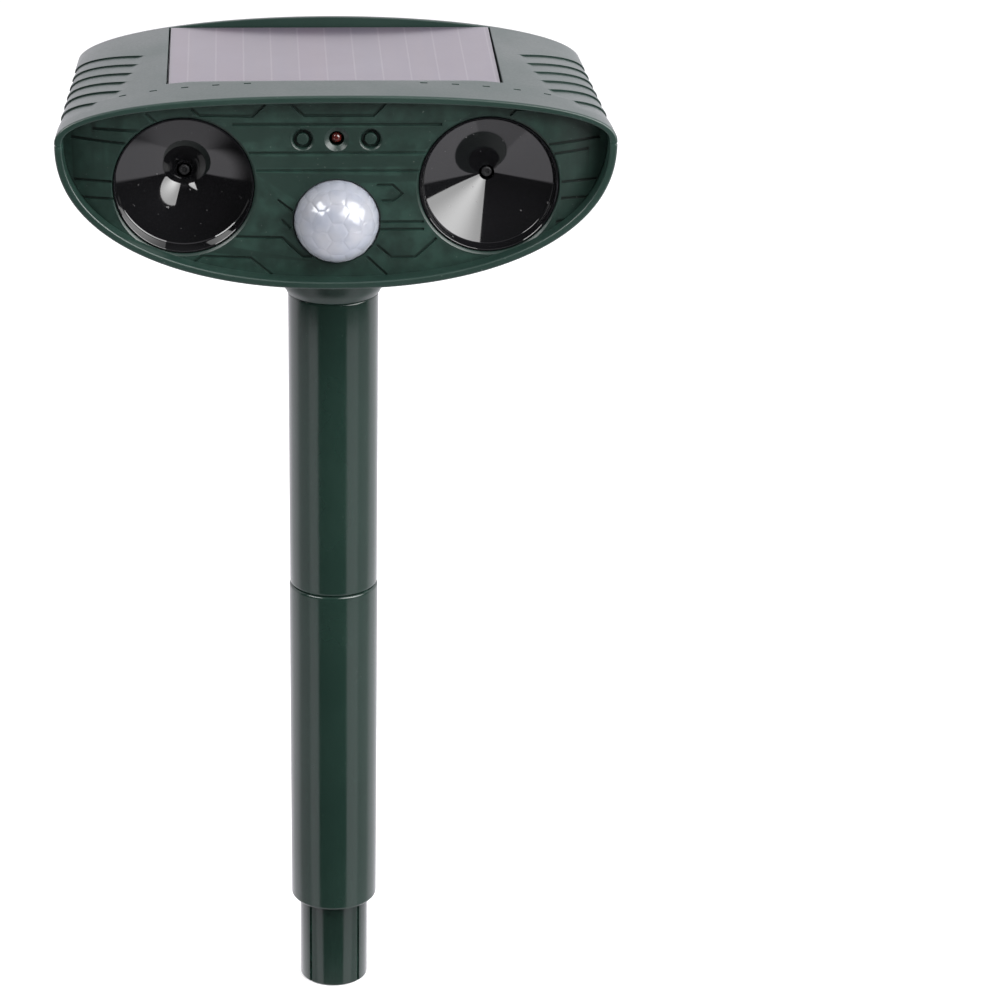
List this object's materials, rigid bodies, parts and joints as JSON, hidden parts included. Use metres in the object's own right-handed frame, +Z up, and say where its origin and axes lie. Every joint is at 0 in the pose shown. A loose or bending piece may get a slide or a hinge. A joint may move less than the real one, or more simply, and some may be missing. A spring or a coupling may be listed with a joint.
{
  "type": "ultrasonic pest repeller",
  "caption": "Solar ultrasonic pest repeller: boat-shaped head with horn speakers and a domed motion sensor, on a push-fit pole that ends in a spigot.",
  "frame": {"origin": "on the pole's axis, at the seat of the lowest spigot, where a ground spike or another pole section butts against the pole", "axes": "+Z up along the pole, -Y towards the front of the head with the speakers and the sensor, +X to the viewer's right when facing the front"},
  "size_m": [0.15, 0.0949, 0.2883],
  "materials": {
    "green_tube": "smooth, semi-gloss",
    "green_casing": "fine satin grain",
    "green_panel": "satin with engraved traces",
    "horn_black": "high gloss",
    "black_rubber": "soft matt",
    "solar_laminate": "clear laminate over mauve cells",
    "adhesive_pad": "foam pad",
    "diaphragm_film": "thin film",
    "brass_disc": "rolled",
    "black_plastic": "fine grain",
    "milky_lens": "milky, faceted",
    "sensor_can": "plated",
    "red_led": "tinted clear",
    "circuit_board": "solder mask",
    "coil_winding": "varnished wire",
    "capacitor_sleeve": "shrink sleeve",
    "screw_steel": "zinc plated",
    "cell_sleeve": "sleeved can",
    "contact_steel": "nickel plated",
    "spindle_steel": "turned",
    "control_body": "moulded"
  },
  "bodies": {
    "lower_section": {"lower_tube": "green_tube"},
    "upper_section": {"upper_tube": "green_tube"},
    "head": {"bottom_shell": "green_casing", "top_shell": "green_casing", "shell_seal": "black_rubber", "front_panel": "green_panel", "solar_panel": "solar_laminate", "solar_adhesive": "adhesive_pad", "horn_left": "horn_black", "horn_right": "horn_black", "drive_pin_left": "horn_black", "drive_pin_right": "horn_black", "diaphragm_left": "diaphragm_film", "diaphragm_right": "diaphragm_film", "piezo_disc_left": "brass_disc", "piezo_disc_right": "brass_disc", "driver_case_left": "black_plastic", "driver_case_right": "black_plastic", "pir_lens": "milky_lens", "pir_lens_ring": "black_plastic", "pir_sensor": "sensor_can", "status_led": "red_led", "blank_plugs": "green_panel", "sensor_board": "circuit_board", "main_board": "circuit_board", "controller_chip": "black_plastic", "boost_coils": "coil_winding", "capacitors": "capacitor_sleeve", "board_screws": "screw_steel", "battery_holder": "black_plastic", "battery_cell_1": "cell_sleeve", "battery_cell_2": "cell_sleeve", "battery_cell_3": "cell_sleeve", "battery_springs": "contact_steel", "contact_plates": "contact_steel", "frequency_control": "control_body", "sensitivity_control": "control_body", "switch_body": "contact_steel", "charge_socket": "contact_steel", "housing_screws": "screw_steel"},
    "frequency_dial": {"frequency_knob": "black_plastic", "frequency_spindle": "spindle_steel"},
    "sensitivity_dial": {"sensitivity_knob": "black_plastic", "sensitivity_spindle": "spindle_steel"},
    "switch_slider": {"power_switch": "black_plastic"},
    "port_flap": {"charge_cover": "black_rubber"},
    "battery_hatch": {"battery_door": "green_casing", "door_screws": "screw_steel"}
  },
  "joints": [
    {"name": "upper_section_pull", "type": "slide", "parent": "lower_section", "child": "upper_section", "axis": [0, 0, 1], "range_m": [0, 0.03]},
    {"name": "head_lift", "type": "slide", "parent": "upper_section", "child": "head", "axis": [0, 0, 1], "range_m": [0, 0.03]},
    {"name": "frequency_knob_turn", "type": "hinge", "parent": "head", "child": "frequency_dial", "pos_m": [-0.044, 0.038, 0.23], "axis": [0, 1, 0], "range_deg": [-135, 135]},
    {"name": "sensitivity_knob_turn", "type": "hinge", "parent": "head", "child": "sensitivity_dial", "pos_m": [0.044, 0.038, 0.23], "axis": [0, 1, 0], "range_deg": [-135, 135]},
    {"name": "power_switch_slide", "type": "slide", "parent": "head", "child": "switch_slider", "axis": [0, 0, 1], "range_m": [0, 0.003]},
    {"name": "charge_cover_flip", "type": "hinge", "parent": "head", "child": "port_flap", "pos_m": [0.059, 0.0386, 0.244], "axis": [1, 0, 0], "range_deg": [0, 120]},
    {"name": "battery_door_lift", "type": "slide", "parent": "head", "child": "battery_hatch", "axis": [0, 1, 0], "range_m": [0, 0.02]}
  ]
}
